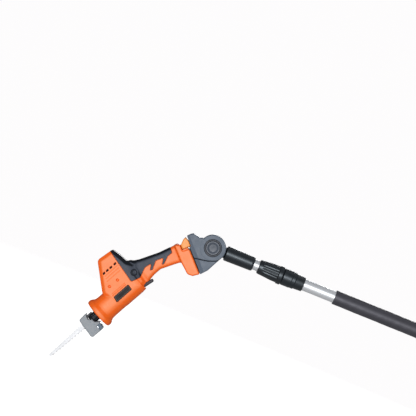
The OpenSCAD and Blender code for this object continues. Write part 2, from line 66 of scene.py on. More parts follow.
# ---- Frames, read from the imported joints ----
HUB = np.array(joints["head_tilt"]["pos_m"])
P_AXIS = np.array(joints["plunger_stroke"]["axis"])
Q_AXIS = np.array(joints["motor_spin"]["axis"])
T_AXIS = -np.array(joints["saw_slide_off"]["axis"])
N_AXIS = np.cross(T_AXIS, [0.0, 1.0, 0.0])
FOOT_TILT = math.acos(float(P_AXIS @ N_AXIS))
MM = 0.001


def head_to_row(points):
    """Head frame millimetres to row frame metres."""
    p = np.asarray(points, float) * MM
    return HUB + p[:, :1] * P_AXIS + p[:, 1:2] * np.array([0, 1, 0]) + p[:, 2:3] * Q_AXIS


def pole_to_row(points):
    """Pole frame millimetres to row frame metres."""
    return HUB + np.asarray(points, float) * MM


# ---- Signed distance fields ----
def smooth_min(a, b, k):
    """Union of two fields, blended over k."""
    h = np.clip(0.5 + 0.5 * (b - a) / k, 0, 1)
    return b + (a - b) * h - k * h * (1 - h)


def smooth_max(a, b, k):
    """Intersection of two fields, blended over k."""
    return -smooth_min(-a, -b, k)


def cut(a, b, k=0.6):
    """Field a with b taken away."""
    return smooth_max(a, -b, k)


def corner_arc(a, b, c, radius, steps=5):
    """Points of one rounded corner at b."""
    u, w = (a - b) / np.linalg.norm(a - b), (c - b) / np.linalg.norm(c - b)
    half = math.acos(float(np.clip(u @ w, -1, 1))) / 2
    reach = min(radius / math.tan(half), 0.48 * min(np.linalg.norm(a - b), np.linalg.norm(c - b)))
    r = reach * math.tan(half)
    centre = b + (u + w) / np.linalg.norm(u + w) * r / math.sin(half)
    start, stop = b + u * reach - centre, b + w * reach - centre
    turn = math.atan2(start[0] * stop[1] - start[1] * stop[0], start @ stop)
    first = math.atan2(start[1], start[0])
    angles = [first + turn * i / steps for i in range(steps + 1)]
    return [centre + r * np.array([math.cos(t), math.sin(t)]) for t in angles]


def rounded(points):
    """Outline points from [x, z, corner radius] triples."""
    p = [np.array(v[:2], float) for v in points]
    n = len(p)
    out = []
    for i in range(n):
        out += corner_arc(p[i - 1], p[i], p[(i + 1) % n], max(points[i][2], 0.2))
    return np.array(out)


def outline(points, cell=0.35, margin=12):
    """Field of a closed outline in x and z, looked up in a fine grid of its distances."""
    shape = rounded(points)
    low = shape.min(0) - margin
    gx, gz = (np.arange(a, b, cell) for a, b in zip(low, shape.max(0) + margin))
    x, z = gx[:, None], gz[None, :]
    nearest = np.full((len(gx), len(gz)), 1e9)
    inside = np.zeros(nearest.shape, bool)
    for (ax, az), (bx, bz) in zip(shape, np.roll(shape, -1, axis=0)):
        ex, ez = bx - ax, bz - az
        wx, wz = x - ax, z - az
        t = np.clip((wx * ex + wz * ez) / (ex * ex + ez * ez), 0, 1)
        nearest = np.minimum(nearest, (wx - ex * t) ** 2 + (wz - ez * t) ** 2)
        if ez:
            inside ^= ((az > z) != (bz > z)) & (wx < ex * wz / ez)
    grid = np.where(inside, -1, 1) * np.sqrt(nearest)

    def field(x, z):
        u, w = (x - low[0]) / cell, (z - low[1]) / cell
        cu, cw = np.clip(u, 0, len(gx) - 1.001), np.clip(w, 0, len(gz) - 1.001)
        i, j = cu.astype(int), cw.astype(int)
        a, b = cu - i, cw - j
        near = grid[i, j] * (1 - a) + grid[i + 1, j] * a
        far = grid[i, j + 1] * (1 - a) + grid[i + 1, j + 1] * a
        return near * (1 - b) + far * b + np.hypot(u - cu, w - cw) * cell

    return field


def thick(flat, y, half, radius):
    """A flat field made half thick to each side of y = 0, with edges of that radius."""
    a, b = flat + radius, np.abs(y) - half + radius
    return np.hypot(np.maximum(a, 0), np.maximum(b, 0)) + np.minimum(np.maximum(a, b), 0) - radius


def rod(u, v, r):
    """Field of an endless round rod where u and v are the distances from its axis."""
    return np.hypot(u, v) - r


def box(x, y, z, low, high, radius=0.5):
    """Field of a box with rounded edges."""
    q = [np.abs(c - (a + b) / 2) - (b - a) / 2 + radius for c, a, b in zip((x, y, z), low, high)]
    outside = np.sqrt(sum(np.maximum(c, 0) ** 2 for c in q))
    return outside + np.minimum(np.maximum(np.maximum(q[0], q[1]), q[2]), 0) - radius


def foot_axes(x, z):
    """Head frame x and z as distances square to the foot's face and along it."""
    c, s = math.cos(FOOT_TILT), math.sin(FOOT_TILT)
    return x * c + z * s, z * c - x * s


# ---- Meshes ----
def surface_net(field, low, high, step):
    """Mesh of a field's zero surface: one point per crossed cell, then drawn onto the surface."""
    axes = [np.arange(a, b + step, step) for a, b in zip(low, high)]
    x, y, z = np.meshgrid(*axes, indexing="ij", sparse=True)
    v = np.broadcast_to(field(x, y, z), [len(a) for a in axes]).astype(np.float32)
    inside = v < 0
    corners = [(i, j, k) for i in (0, 1) for j in (0, 1) for k in (0, 1)]
    n = [s - 1 for s in v.shape]

    def at(c, a):
        return a[c[0]:c[0] + n[0], c[1]:c[1] + n[1], c[2]:c[2] + n[2]]

    count = sum(at(c, inside).astype(np.int8) for c in corners)
    cells = np.argwhere((count > 0) & (count < 8))
    number = np.full(n, -1, np.int64)
    number[tuple(cells.T)] = np.arange(len(cells))
    total = np.zeros((len(cells), 3))
    crossings = np.zeros(len(cells))
    for axis in range(3):
        for c in corners:
            if c[axis]:
                continue
            d = list(c)
            d[axis] = 1
            a = v[tuple((cells + c).T)].astype(float)
            b = v[tuple((cells + d).T)].astype(float)
            crossed = (a < 0) != (b < 0)
            t = np.where(crossed, a / np.where(crossed, a - b, 1), 0)
            point = np.array(c) + t[:, None] * (np.array(d) - np.array(c))
            total += point * crossed[:, None]
            crossings += crossed
    points = (cells + total / crossings[:, None]) * step + np.array([a[0] for a in axes])
    quads = []
    for axis in range(3):
        u, w = (axis + 1) % 3, (axis + 2) % 3
        lo, hi = [slice(None)] * 3, [slice(None)] * 3
        lo[axis], hi[axis] = slice(None, -1), slice(1, None)
        flips = inside[tuple(lo)] != inside[tuple(hi)]
        e = np.argwhere(flips)
        e = e[(e[:, u] > 0) & (e[:, w] > 0) & (e[:, u] < n[u]) & (e[:, w] < n[w])]
        starts_inside = inside[tuple(e.T)]
        ring = []
        for du, dw in ((1, 1), (0, 1), (0, 0), (1, 0)):
            q = e.copy()
            q[:, u] -= du
            q[:, w] -= dw
            ring.append(number[tuple(q.T)])
        ring = np.stack(ring, 1)
        ring[~starts_inside] = ring[~starts_inside][:, ::-1]
        quads.append(ring)
    return drawn_onto(field, points, step), np.concatenate(quads)


def drawn_onto(field, points, step, rounds=3):
    """Points moved along the field's slope onto its zero surface."""
    h = 0.05 * step
    start = points.copy()
    for _ in range(rounds):
        d = field(*points.T)
        slope = np.stack([
            (field(*(points + o).T) - field(*(points - o).T)) / (2 * h)
            for o in np.eye(3) * h], 1)
        size = np.maximum((slope ** 2).sum(1), 0.25)
        points = points - slope * (d / size)[:, None]
        points = start + np.clip(points - start, -0.6 * step, 0.6 * step)
    return points


def placed(name, data):
    """A new object in the scene."""
    thing = bpy.data.objects.new(name, data)
    bpy.context.scene.collection.objects.link(thing)
    return thing


def mesh_piece(name, points, faces, to_row, material):
    """A new smooth object from local points and faces."""
    mesh = bpy.data.meshes.new(name)
    mesh.from_pydata([tuple(p) for p in to_row(points)], [], [tuple(map(int, f)) for f in faces])
    mesh.validate()
    mesh.polygons.foreach_set("use_smooth", [True] * len(mesh.polygons))
    mesh.update()
    piece = placed(name, mesh)
    mesh.materials.append(material)
    return piece


def settle(piece, body, slot, *nodes):
    """Gives a piece its body and hides the CAD nodes it stands for; slot is not used."""
    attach(piece, body)
    if nodes:
        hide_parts(*nodes)
    return piece


def outward(piece):
    """Turns all faces of a closed mesh outwards."""
    bm = bmesh.new()
    bm.from_mesh(piece.data)
    bmesh.ops.recalc_face_normals(bm, faces=bm.faces)
    bm.to_mesh(piece.data)
    bm.free()
    return piece


# ---- Finishes ----
def link(tree, a, b):
    """Joins an output socket to an input socket."""
    tree.links.new(a, b)


def noise_at(tree, where, scale, detail=3.0, rough=0.55):
    """A noise texture's value over the given coordinates."""
    node = tree.nodes.new("ShaderNodeTexNoise")
    node.inputs["Scale"].default_value = scale
    node.inputs["Detail"].default_value = detail
    node.inputs["Roughness"].default_value = rough
    link(tree, where, node.inputs["Vector"])
    return node.outputs["Fac"]


def ranged(tree, value, low, high, to_low, to_high):
    """A value mapped from one range to another and clamped."""
    node = tree.nodes.new("ShaderNodeMapRange")
    for socket, number in zip(("From Min", "From Max", "To Min", "To Max"), (low, high, to_low, to_high)):
        node.inputs[socket].default_value = number
    link(tree, value, node.inputs["Value"])
    return node.outputs["Result"]


def mixed(tree, share, a, b):
    """Two colours mixed by a share; each is a colour or a socket."""
    node = tree.nodes.new("ShaderNodeMix")
    node.data_type = "RGBA"
    link(tree, share, node.inputs["Factor"])
    for name, value in (("A", a), ("B", b)):
        socket = [s for s in node.inputs if s.name == name and s.type == "RGBA"][0]
        if isinstance(value, tuple):
            socket.default_value = (*value, 1)
        else:
            link(tree, value, socket)
    return [s for s in node.outputs if s.type == "RGBA"][0]


def tinted(colour, factor):
    """A colour made lighter or darker, never above 1."""
    return tuple(min(1.0, c * factor) for c in colour)


def finish(name, colour, rough, metal=0.0, coat=0.0, specular=0.5, mottle=0.1, patch=0.03, grain=0.3,
           grain_size=0.0007, depth=0.00006, stretch=(1, 1, 1), rough_spread=0.07, wear=0.0, wear_colour=None,
           speckle=None, cells=0.0, marked_colour=None, tint=(1, 1, 1)):
    """A procedural finish: colour patches, grain in the relief, uneven gloss, worn edges and specks.
    The marked colour is mixed in where sculpt() marks the mesh. On the orange shells and the trigger
    it is a painted highlight on side-facing surfaces. On the soft grips it is their lit flats, and the
    dark base is painted shade on their rims. In the adapter's step groove it is painted shade. On the
    plates it is print, and on the shoe it is the dark colour of the pivot recess."""
    material = bpy.data.materials.new(name)
    material.use_nodes = True
    tree = material.node_tree
    shader = tree.nodes["Principled BSDF"]
    coords = tree.nodes.new("ShaderNodeTexCoord").outputs["Object"]
    mapping = tree.nodes.new("ShaderNodeMapping")
    mapping.inputs["Scale"].default_value = stretch
    link(tree, coords, mapping.inputs["Vector"])
    where = mapping.outputs["Vector"]
    patches = ranged(tree, noise_at(tree, where, 1 / patch), 0.3, 0.7, 0, 1)
    hue = mixed(tree, patches, tinted(colour, 1 - mottle), tinted(colour, 1 + mottle))
    if marked_colour:
        marked = tree.nodes.new("ShaderNodeAttribute")
        marked.attribute_name = "marked_colour"
        hue = mixed(tree, marked.outputs["Fac"], hue,
                    mixed(tree, patches, tinted(marked_colour, 1 - mottle), tinted(marked_colour, 1 + mottle)))
    fine = noise_at(tree, where, 1 / grain_size, 2.0)
    if speckle:
        specks = ranged(tree, noise_at(tree, coords, 700, 1.0), 0.6, 0.68, 0, 1)
        hue = mixed(tree, specks, hue, speckle)
    if wear:
        edge = ranged(tree, tree.nodes.new("ShaderNodeNewGeometry").outputs["Pointiness"], 0.52, 0.6, 0, wear)
        hue = mixed(tree, edge, hue, wear_colour or tinted(colour, 1.6))
    link(tree, hue, shader.inputs["Base Color"])
    gloss = noise_at(tree, where, 1 / (patch * 0.35), 4.0)
    link(tree, ranged(tree, gloss, 0.25, 0.75, rough - rough_spread, rough + rough_spread),
         shader.inputs["Roughness"])
    bump = tree.nodes.new("ShaderNodeBump")
    bump.inputs["Strength"].default_value = grain
    bump.inputs["Distance"].default_value = depth
    height = fine
    if cells:
        voronoi = tree.nodes.new("ShaderNodeTexVoronoi")
        voronoi.inputs["Scale"].default_value = 1 / cells
        link(tree, coords, voronoi.inputs["Vector"])
        height = voronoi.outputs["Distance"]
    link(tree, height, bump.inputs["Height"])
    link(tree, bump.outputs["Normal"], shader.inputs["Normal"])
    shader.inputs["Metallic"].default_value = metal
    shader.inputs["Coat Weight"].default_value = coat
    shader.inputs["Coat Roughness"].default_value = 0.12
    shader.inputs["Specular IOR Level"].default_value = specular
    shader.inputs["Specular Tint"].default_value = (*tint, 1)
    return material


ALONG = (0.03, 1, 1)
FINISH = {
    "bright_tube": finish("satin_anodised_tube", (0.68, 0.7, 0.73), 0.45, metal=0.6, stretch=ALONG,
                          mottle=0.06, grain_size=0.0004, grain=0.2, depth=0.00002),
    "black_gloss": finish("gloss_black_plastic", (0.002, 0.003, 0.005), 0.42, specular=0.75, mottle=0.3,
                          grain=0.05, tint=(0.82, 0.92, 1.0), wear=0.3, wear_colour=(0.02, 0.025, 0.035)),
    "black_plastic": finish("black_plastic", (0.006, 0.006, 0.008), 0.45, specular=0.15, mottle=0.25,
                            grain=0.15, wear=0.3, wear_colour=(0.03, 0.035, 0.04)),
    "foam": finish("closed_cell_foam", (0.026, 0.025, 0.032), 0.55, specular=1.0, mottle=0.2, cells=0.0011,
                   grain=0.25, depth=0.0001, tint=(0.9, 0.9, 1.0)),
    # The marked colour is a painted highlight: the front lamp's sheen painted paler onto side-facing surfaces.
    "orange_shell": finish("satin_orange_plastic", (0.93, 0.14, 0.012), 0.42, specular=0.2, mottle=0.04,
                           patch=0.05, grain=0.12, depth=0.00004, wear=0.06, wear_colour=(1.0, 0.25, 0.06),
                           marked_colour=(0.95, 0.25, 0.085)),
    # The dark base colour is painted shade on the curved rims; the marked colour is the lit side-facing flats.
    "soft_grip": finish("moulded_rubber", (0.006, 0.008, 0.012), 0.5, specular=0.15, mottle=0.14, patch=0.015,
                        grain=0.2, wear=0.2, wear_colour=(0.03, 0.035, 0.045),
                        marked_colour=(0.062, 0.072, 0.095)),
    # The dark marked colour is painted shade along the groove of the adapter's step.
    "slate_plastic": finish("slate_plastic", (0.112, 0.138, 0.178), 0.45, specular=0.2, mottle=0.06,
                            grain=0.15, depth=0.00005, wear=0.2, wear_colour=(0.2, 0.24, 0.28),
                            marked_colour=(0.012, 0.014, 0.02)),
    "button_slate": finish("slate_button", (0.07, 0.083, 0.108), 0.4, specular=0.3, mottle=0.08, grain=0.12,
                           depth=0.00004, wear=0.3, wear_colour=(0.24, 0.28, 0.34)),
    "ring_navy": finish("navy_ring", (0.01, 0.014, 0.026), 0.36, specular=0.2, mottle=0.2, wear=0.3,
                        wear_colour=(0.04, 0.05, 0.08)),
    "amber_plastic": finish("amber_plastic", (0.88, 0.3, 0.05), 0.4, specular=0.35, mottle=0.05, grain=0.12,
                            depth=0.00004, wear=0.15, wear_colour=(1.0, 0.42, 0.1)),
    "shoe_grey": finish("speckled_grey_paint", (0.3, 0.325, 0.35), 0.5, specular=0.2, mottle=0.06, grain=0.3,
                        grain_size=0.0012, depth=0.00006, speckle=(0.2, 0.25, 0.3), wear=0.2,
                        wear_colour=(0.45, 0.48, 0.5), marked_colour=(0.11, 0.15, 0.195)),
    "steel": finish("plain_steel", (0.42, 0.43, 0.45), 0.36, metal=1.0, patch=0.006),
    "blade_steel": finish("ground_blade_steel", (0.66, 0.67, 0.69), 0.5, metal=0.25, specular=0.3,
                          mottle=0.06, patch=0.01, grain_size=0.0005, depth=0.00002),
    "cast_alloy": finish("cast_alloy", (0.35, 0.36, 0.38), 0.5, metal=0.9, grain=0.5, depth=0.0001),
    "bronze": finish("sintered_bronze", (0.42, 0.25, 0.1), 0.45, metal=0.9, grain=0.5),
    "contact": finish("contact_block", (0.2, 0.12, 0.05), 0.4, metal=0.5),
    "copper_wound": finish("copper_winding", (0.45, 0.2, 0.08), 0.4, metal=0.8, stretch=(1, 1, 12)),
    "dark_metal": finish("blackened_steel", (0.012, 0.013, 0.017), 0.36, metal=0.3, specular=0.3, mottle=0.2,
                         patch=0.004, wear=0.6, wear_colour=(0.1, 0.11, 0.13)),
    "cell_wrap": finish("cell_wrap", (0.09, 0.3, 0.13), 0.3, coat=0.4),
}
PLATE_BLACK = finish("blank_plate_black", (0.008, 0.005, 0.005), 0.45, specular=0.15, mottle=0.2, grain=0.1,
                     marked_colour=(0.16, 0.14, 0.135))
# The marked colour is a painted highlight on the trigger's side-facing flats.
TRIGGER_BLACK = finish("trigger_black", (0.006, 0.006, 0.008), 0.42, specular=0.2, mottle=0.15, grain=0.15,
                       marked_colour=(0.03, 0.028, 0.038))


# ---- Outlines shared by the parts ----
# Height of the motor's axis, half widths and radius of the outer forms, mm
AXIS_Q = 54
HANDLE_HALF, FOOT_HALF, BATTERY_HALF, BARREL_R = 17.5, 31, 31, 26.5
# Shell wall, half of the open seam, and the fit of the soft covers in their recesses, mm
WALL, SEAM_HALF = 3, 0.06
COVER_GAP, RECESS_DEPTH, COVER_DEPTH, COVER_PROUD = 0.3, 1.45, 1.35, 0.35
HUMP = outline([[150, 38.5, 2], [160.5, 36, 1], [163, 26.5, 3], [216, 27, 6], [232, 50, 3], [236.7, 80, 7],
                [198, 140, 10], [160, 136, 7], [155.5, 112, 9], [153.5, 98, 6], [146, 87.5, 8], [138, 84, 4]])
HANDLE = outline([[64, -4.5, 3], [84, -2.5, 6], [118, -1, 10], [134, -6.5, 10], [152, -16, 3], [176, 42, 4],
                  [163, 34.6, 10], [110, 32.4, 20], [64, 35.4, 3]])
FOOT = outline([[45.7, -40.5, 2], [61, -38.5, 7], [69.5, -31, 7], [72.3, -6, 3], [73, 36, 3], [61, 31.5, 2],
                [60.8, 18.2, 2], [45.7, 17.2, 1]])
GRIP = outline([[174.3, 59.5, 3], [155, 53.5, 6], [134, 62.8, 5], [117.5, 60.5, 2], [131, 50.6, 2],
                [124.3, 49.2, 2], [107.5, 58.4, 2], [91, 52.8, 2], [104.8, 43.4, 2], [98.4, 42, 2],
                [82, 49.2, 2], [70.5, 48.6, 2], [65, 62, 2], [60, 90, 2], [130, 160, 2], [163, 160, 2]])
NOSE = outline([[240, -9, 0.5], [240, 26, 1], [252, 26.5, 6], [257.5, 28, 6], [264.6, 32.6, 1.5],
                [266, 32.95, 1.5], [271.2, 32.95, 1.5], [273.3, 31.6, 1], [274, 29.4, 0.5], [274, -9, 0.5]])
SAW_SCREWS = [(157, 70), (60.3, 21.5), (74.5, 43.5), (201.5, 124), (246, 69)]
FRAME_SCREWS = [(215, 81.8), (193.5, 81)]
BOSS = SAW_SCREWS[0]
VENTS = [205.4, 196.3, 186.5, 175.3]


def bevelled(flat, y, half, across, deep, soft=1.2):
    """A flat field made half thick, its edges cut off by a flat bevel."""
    side = np.abs(y) - half
    slope = (flat / across + side / deep + 1) / math.hypot(1 / across, 1 / deep)
    return smooth_max(smooth_max(flat, side, soft), slope, soft)


def halved(field, side, y):
    """The half of a field on one side of the seam."""
    return smooth_max(field, SEAM_HALF - side * y, 0.7)


def saw_form(x, y, z):
    """Outer form of the saw in the head frame."""
    n, t = foot_axes(x, z)
    # The side panels come in from the hump's width to the handle's over 30 mm
    way = np.clip(((x - 138) * 0.967 + (z - 84) * 0.255 + 3) / 30, 0, 1)
    side = HANDLE_HALF + 7.7 * way * way * (3 - 2 * way)
    hump = bevelled(HUMP(x, z), y, side, 7.5, 5.5)
    hump = smooth_max(hump, np.hypot(y, np.minimum(z - AXIS_Q, 0)) - 27, 2)
    barrel = smooth_max(np.hypot(y, z - AXIS_Q) - BARREL_R, np.abs(y) - side - 0.5, 0.7)
    barrel = smooth_max(barrel, np.abs(x - 211) - 49, 2)
    form = smooth_min(hump, barrel, 2)
    form = smooth_min(form, thick(HANDLE(n, t), y, HANDLE_HALF, 9), 7)
    form = smooth_min(form, thick(FOOT(n, t), y, FOOT_HALF, 4), 5)
    form = np.minimum(form, box(n, np.abs(y), t, (46, 22, 14), (60.6, 28.6, 20.2)))
    boss = np.hypot(x - BOSS[0], z - BOSS[1])
    ring = 0.8 * np.exp(-((boss - 6.2) / 0.8) ** 2) - 0.5 * np.exp(-((boss - 4.6) / 0.8) ** 2)
    return smooth_min(form, NOSE(x, np.hypot(y, z - AXIS_Q)), 1.0) + ring


def screw_wells(field, x, y, z, places, start, radius=3.0):
    """Holes for screw heads, open to positive y from start."""
    for sx, sz in places:
        field = cut(field, np.maximum(rod(x - sx, z - sz, radius), start - y), 0.8)
    return field


def saw_shell(side):
    """Field of one housing half: -1 is the left, 1 is the right."""
    def field(x, y, z):
        n, t = foot_axes(x, z)
        form = saw_form(x, y, z)
        hollow = smooth_max(form + WALL, 58 - n, 2)
        shell = cut(form, hollow)
        shell = cut(shell, smooth_max(GRIP(x, z) - COVER_GAP, -(form + RECESS_DEPTH), 0.4))
        shell = cut(shell, rod(y, z - AXIS_Q, 22) + 0 * x + np.maximum(0, 238 - x), 1.2)
        shell = cut(shell, box(x, y, z, (134, -5.4, 20), (169, 5.4, 48), 1.5), 1)
        rail = np.minimum(box(n, y, t, (40, -17.4, -36), (50.6, 17.4, 60)),
                          box(n, y, t, (49.6, -20.4, -36), (55, 20.4, 60)))
        shell = cut(shell, rail)
        shell = cut(shell, box(n, y, t, (40, -20.5, 16), (55.2, 20.5, 60)))
        shell = cut(shell, box(n, y, t, (54, -8, -12), (60, 8, 12)))
        for p in VENTS:
            slot = box(x + 0.35 * (z - 110), np.abs(y), z, (p - 3, 20, 108.1), (p + 3, 40, 111.9), 1)
            shell = cut(shell, slot, 0.5)
        for q in (104, 98.5, 93, 66.5, 62.8):
            groove = np.hypot(np.abs(y) - 25.5, z - q) - 0.75
            shell = cut(shell, smooth_max(groove, np.abs(x - 199 + 0.35 * (q - 80)) - 18, 1), 0.6)
        shell = screw_wells(shell, x, y, z, SAW_SCREWS, 13.5)
        shell = screw_wells(shell, x, -y, z, FRAME_SCREWS, 23.5, 2.8)
        plate = PLATE(x, z) - 0.35
        shell = cut(shell, smooth_max(plate, 24.6 - np.abs(y), 0.4), 0.4)
        return halved(shell, side, y)
    return field


def grip_cover(side):
    """Field of one soft grip cover."""
    def field(x, y, z):
        form = saw_form(x, y, z)
        skin = smooth_max(form - COVER_PROUD, -(form + COVER_DEPTH), 0.4)
        skin = smooth_max(skin, GRIP(x, z) + COVER_GAP, 1.0)
        skin = screw_wells(skin, x, y, z, SAW_SCREWS, 10)
        return halved(skin, side, y)
    return field


PLATE = outline([[184, 46.7, 1.5], [225, 46.7, 1.5], [222.6, 59.4, 1.5], [183, 59.4, 1.5]])


def plate_rim(x, y, z):
    """Share of the pale rim's colour on the blank plates."""
    return np.clip(1.4 - np.abs(PLATE(x, z) + 1.9) / 0.35, 0, 1)


def name_plate(side):
    """Blank plate with a raised rim on one side of the housing."""
    def field(x, y, z):
        flat = PLATE(x, z)
        rim = np.clip(1 - np.abs(flat + 1.9) / 0.5, 0, 1)
        proud = side * y - 26.0 - 0.3 * rim
        return smooth_max(smooth_max(flat, proud, 0.5), 24.7 - side * y, 0.3)
    return field


def vent_shade_plate(side):
    """Field of the dark plate behind the vents of one side, with small round dents.
    It is painted shade, standing in for the shade inside the vents.
    """
    def field(x, y, z):
        plate = box(x, side * y, z, (168, 17, 103), (212, 21, 117), 1)
        dent = np.clip(1.4 - np.hypot(x % 3 - 1.5, z % 3 - 1.5), 0, 1)
        return smooth_max(plate, side * y - 21 + 1.2 * dent, 0.3)
    return field


ADAPTER = outline([[45, -40.6, 2], [45, 43.4, 1], [38, 43.9, 3], [32, 44.3, 3], [26, 43, 4], [18, 31.5, 8],
                   [10, 25.6, 1], [0, 0, 1], [-9.2, -25.9, 1], [27.5, -39.4, 6], [42.2, -40.8, 3]])
WEDGE = outline([[50, 0.5, 1], [45.5, -2.7, 2], [33.9, -10.9, 12], [19.1, -20.7, 8], [5.4, -26.1, 3],
                 [-16, -30, 1], [-16, -50, 1], [50, -50, 1]])
POCKET = outline([[40.9, 18.4, 1], [61, 18.4, 1], [61, 60, 1], [40.9, 60, 1]])
ADAPTER_SCREWS = [(32, -31), (34, 34), (36, 2)]


def painted_step_shade(x, y, z):
    """Share of the painted shade along the groove of the adapter's step."""
    return np.clip(1.6 - np.abs(WEDGE(*foot_axes(x, z)) + 1) / 0.8, 0, 1) * (np.abs(y) > 22)


def adapter_half(side):
    """Field of one half of the tilt adapter."""
    def field(x, y, z):
        n, t = foot_axes(x, z)
        lowered = np.clip(0.5 - WEDGE(n, t) / 1.4, 0, 1)
        raised = np.clip((n - 36) / 7, 0, 1)
        half = 28.1 + 2.7 * raised - 2.6 * lowered
        form = smooth_min(thick(ADAPTER(n, t), y, half, 2.5), thick(rod(x, z, 27.5), y, 28.1, 2), 1)
        form = cut(form, np.hypot(WEDGE(n, t) + 1, np.abs(y) - half) - 1.1, 0.4)
        rail = np.minimum(box(n, y, t, (40, -17, -35), (51, 17, 17)),
                          box(n, y, t, (50, -20, -35), (54.6, 20, 17)))
        form = np.minimum(form, rail)
        form = cut(form, smooth_max(rod(x, z, 32), np.abs(y) - 11.9, 1), 1)
        form = cut(form, rod(x, z, 7.05) + 0 * y)
        form = cut(form, np.maximum(rod(x, z, 15.1), y + 22))
        form = cut(form, np.maximum(rod(x, z, 18.6), y + 26.4))
        form = cut(form, np.maximum(rod(x, z, 15.1), 25 - y))
        form = cut(form, np.maximum(POCKET(n, t), -box(n, np.abs(y), t, (40, 22, 14), (45, 28.6, 20.2))))
        form = cut(form, smooth_max(43.7 - n, half - 1.8 - np.abs(y), 0.3), 0.3)
        form = cut(form, box(n, y, t, (38, -8, -12), (60, 8, 12)))
        for sn, st in ADAPTER_SCREWS:
            form = cut(form, np.maximum(rod(n - sn, t - st, 3.0), 26 - y), 0.8)
        return halved(form, side, y)
    return field


def seam_shade_sheet(x, y, z):
    """Field of the dark sheet in the seam between adapter and foot.
    It is painted shade, standing in for the shadow in the gap.
    """
    n, t = foot_axes(x, z)
    form = box(n, y, t, (43.9, -32, -39.8), (45.4, 32, 17.4), 0.5)
    half = 28.1 + 2.6 * (np.clip((n - 36) / 7, 0, 1) - np.clip(0.5 - WEDGE(n, t) / 1.4, 0, 1))
    form = smooth_max(form, np.abs(y) - half + 0.9, 0.5)
    return cut(form, np.abs(y) - 26)


LATCH = outline([[41.6, 20, 2], [60, 20.4, 2], [60.2, 30.4, 2.5], [50.4, 39.8, 4], [41.4, 43.2, 2]])


def latch(x, y, z):
    """Field of the saw's release latch."""
    n, t = foot_axes(x, z)
    form = thick(LATCH(n, t), y, 30.4, 2.5)
    form = cut(form, np.maximum(t - 22.2, 21.6 - np.abs(y)), 0.8)
    along = (n + t - 90.4) / math.sqrt(2)
    for s in (-4.5, 0, 4.5):
        rib = np.hypot(along - 0.9, (n - t) / math.sqrt(2) - 14.5 - s) - 0.9
        form = cut(form, smooth_max(rib, np.abs(y) - 24, 1), 0.6)
    return form


TRIGGER = outline([[137, 34.5, 2], [139.5, 28.6, 3], [160, 31.5, 4], [169, 36, 2], [168, 42.5, 3],
                   [157, 41, 4], [146, 37.5, 4]])


def trigger(x, y, z):
    """Field of the saw's trigger, with a dished face."""
    form = thick(TRIGGER(x, z), y, 5, 2.2)
    return cut(form, rod(x - 165, z - 39, 1.6) + 0 * y)


SHOE = outline([[282.3, 24.5, 4], [314.6, 25, 5], [310.6, 71, 4], [289, 72.6, 4], [288, 47, 3], [280, 41, 3]])
LEVER_NOTCH = outline([[284, 54.6, 1], [291.5, 54.6, 1.5], [296, 60, 2], [293, 68.5, 3], [286, 75, 1],
                       [284, 75, 1]])
PIVOT_BLOCK = outline([[276, 20, 1], [290.4, 20, 1], [290.4, 37.6, 1], [276, 37.6, 1]])


def shoe(x, y, z):
    """Field of the shoe that rests against the branch."""
    form = thick(SHOE(x, z), y, 15, 3)
    form = cut(form, box(x, y, z, (268, -11.6, 38.5), (306.5, 11.6, 95), 2), 1)
    form = cut(form, box(x, y, z, (268, -7.6, 28.8), (297, 7.6, 39.5), 1), 1)
    form = cut(form, box(x, y, z, (268, -7.6, 15), (285.5, 7.6, 41), 1), 1)
    form = cut(form, box(x, y, z, (298, -1.5, 40), (330, 1.5, 68), 0.6), 0.8)
    form = cut(form, LEVER_NOTCH(x, z) + 0 * y, 0.8)
    form = cut(form, smooth_max(PIVOT_BLOCK(x, z), 14.2 - np.abs(y), 0.3), 0.3)
    return cut(form, np.maximum(rod(x - 291, z - 34, 2.55), np.abs(y) - 13))


SLEEVE = outline([[29, -5, 0.5], [29, 15.2, 1], [31, 16.2, 1], [88.8, 15.1, 1.5], [91.6, 14.4, 1.5],
                  [92.8, 12.6, 0.6], [92.8, -5, 0.5]])


def knuckle(x, y, z):
    """Field of the pole's end knuckle in the pole frame."""
    form = SLEEVE(x, np.hypot(y, z))
    form = smooth_min(form, thick(rod(x, z, 24), y, 11.5, 2), 3)
    form = smooth_min(form, box(x, y, z, (0, -11, -11.5), (33, 11, 11.5), 2), 3)
    return cut(form, rod(x, z, 7.06) + 0 * y)


def seal(x, y, z):
    """Field of the rubber seal in the saw's mouth."""
    rho = np.hypot(y, z - AXIS_Q)
    face = x - 266.8 + 1.0 * np.cos(np.clip(rho - 7, 0, 13) * 2 * math.pi / 4.3)
    form = smooth_max(smooth_max(face, rho - 21.95, 0.8), 254 - x, 0.5)
    form = cut(form, rod(y, z - AXIS_Q - 0.5, 5.6) + 0 * x)
    return cut(form, box(x, y, z, (240, -7.1, 34.6), (290, 7.1, 38.5)))


CLAMP = outline([[275.2, 3, 0.3], [275.2, 9.4, 0.4], [276.4, 10.4, 0.8], [286.4, 10.4, 0.8],
                 [287.6, 9.2, 0.5], [293, 8.8, 0.5], [293, 6, 0.3], [290.8, 5.7, 0.3], [290.8, 3, 0.3]])


def clamp(x, y, z):
    """Field of the blade clamp's knurled collar with its finger lever."""
    v, w = y, z - AXIS_Q - 0.5
    rho = np.hypot(v, w)
    form = CLAMP(x, rho)
    ripple = (np.arctan2(v, w) * 12 / (2 * math.pi) + 0.5) % 1 - 0.5
    flutes = np.hypot(ripple * 2 * math.pi / 12 * rho, rho - 10.9) - 1.1
    form = cut(form, smooth_max(flutes, np.abs(x - 281.4) - 3.6, 0.6), 0.6)
    form = smooth_min(form, box(x, v, w, (280.5, -1.8, 7.5), (294.4, 1.8, 13.4), 0.7), 0.6)
    return cut(form, rod(v, w, 5.45) + 0 * x)


